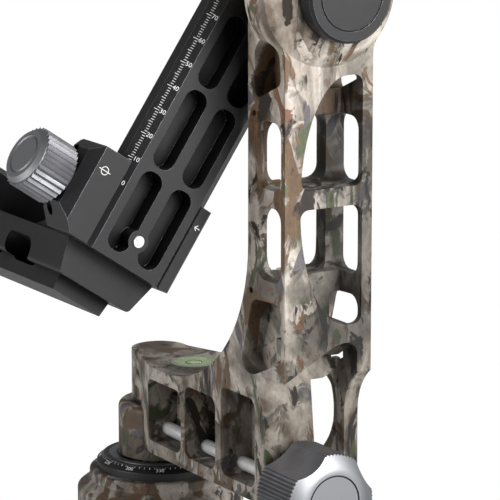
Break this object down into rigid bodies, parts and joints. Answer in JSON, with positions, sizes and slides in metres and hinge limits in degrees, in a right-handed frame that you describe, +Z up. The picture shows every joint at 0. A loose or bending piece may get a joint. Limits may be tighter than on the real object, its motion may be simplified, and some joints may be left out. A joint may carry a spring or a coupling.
{
  "type": "gimbal head",
  "caption": "Tripod gimbal head: an openwork L-frame turns on a round base and carries a swinging slotted rail with a sliding lens clamp platform.",
  "frame": {"origin": "centre of the tripod face on the pan axis", "axes": "+Z up the pan axis, +X from the pan axis out to the upright, +Y across the upright"},
  "size_m": [0.1939, 0.1403, 0.2875],
  "materials": {
    "camo_coat": "satin woodland camouflage coat",
    "black_metal": "black anodised, fine blasted",
    "knob_grip": "dark grey anodised, fluted",
    "turned_alloy": "fine turned",
    "steel": "ground",
    "brass": "plain",
    "level_fluid": "clear green",
    "level_rim": "pale green"
  },
  "bodies": {
    "base": {"base_plate": "camo_coat", "tripod_bush": "steel", "degree_ring": "black_metal", "ring_edge": "turned_alloy", "pan_spindle": "steel", "spindle_nut": "steel"},
    "frame": {"l_frame": "camo_coat", "bubble_level": "level_fluid", "level_rim": "level_rim", "pan_lower_bearing": "steel", "pan_upper_bearing": "steel", "pan_lock_shoe": "brass", "tilt_inner_bearing": "steel", "tilt_outer_bearing": "steel", "tilt_lock_shoe": "brass", "tilt_cap": "black_metal"},
    "pan_lock": {"pan_lock_rod": "steel", "pan_knob": "knob_grip", "pan_knob_face": "turned_alloy"},
    "tilt_lock": {"tilt_lock_rod": "steel", "tilt_knob": "knob_grip", "tilt_knob_face": "turned_alloy"},
    "swing": {"tilt_shaft": "steel", "shaft_nut": "steel", "swing_rail": "black_metal", "rail_screws": "steel", "rail_stop": "steel"},
    "platform": {"rail_clamp": "black_metal", "clamp_pins": "steel", "lens_platform": "black_metal", "platform_screws": "steel", "lens_clamp": "black_metal", "lens_clamp_pins": "steel"},
    "rail_jaw": {"clamp_jaw": "black_metal"},
    "rail_lock": {"clamp_screw": "steel", "clamp_knob": "knob_grip", "clamp_knob_face": "turned_alloy"},
    "plate_jaw": {"lens_jaw": "black_metal"},
    "plate_lock": {"lens_screw": "steel", "lens_knob": "knob_grip", "lens_knob_face": "turned_alloy"}
  },
  "joints": [
    {"name": "pan", "type": "hinge", "parent": "base", "child": "frame", "pos_m": [0, 0, 0], "axis": [0, 0, 1], "continuous": true},
    {"name": "pan_knob_turn", "type": "hinge", "parent": "frame", "child": "pan_lock", "pos_m": [0.12, -0.009, 0.042], "axis": [1, 0, 0], "range_deg": [0, 360]},
    {"name": "tilt_knob_turn", "type": "hinge", "parent": "frame", "child": "tilt_lock", "pos_m": [0.11475, 0, 0.2615], "axis": [0, 0, 1], "range_deg": [0, 360]},
    {"name": "tilt", "type": "hinge", "parent": "frame", "child": "swing", "pos_m": [0.094, 0, 0.2295], "axis": [1, 0, 0], "continuous": true},
    {"name": "platform_slide", "type": "slide", "parent": "swing", "child": "platform", "axis": [0, 0.5577, 0.83], "range_m": [0, 0.07]},
    {"name": "rail_jaw_slide", "type": "slide", "parent": "platform", "child": "rail_jaw", "axis": [0, -0.83, 0.5577], "range_m": [0, 0.0025]},
    {"name": "rail_knob_turn", "type": "hinge", "parent": "rail_jaw", "child": "rail_lock", "pos_m": [0.0793, -0.08692, 0.16219], "axis": [0, -0.83, 0.5577], "range_deg": [0, 720]},
    {"name": "plate_jaw_slide", "type": "slide", "parent": "platform", "child": "plate_jaw", "axis": [-1, 0, 0], "range_m": [0, 0.0025]},
    {"name": "plate_knob_turn", "type": "hinge", "parent": "plate_jaw", "child": "plate_lock", "pos_m": [-0.0309, -0.0662, 0.13098], "axis": [-1, 0, 0], "range_deg": [0, 720]}
  ],
  "couplings": [
    {"joint": "rail_knob_turn", "follows": "rail_jaw_slide", "rad_per_m": 5026.5},
    {"joint": "plate_knob_turn", "follows": "plate_jaw_slide", "rad_per_m": 5026.5}
  ]
}
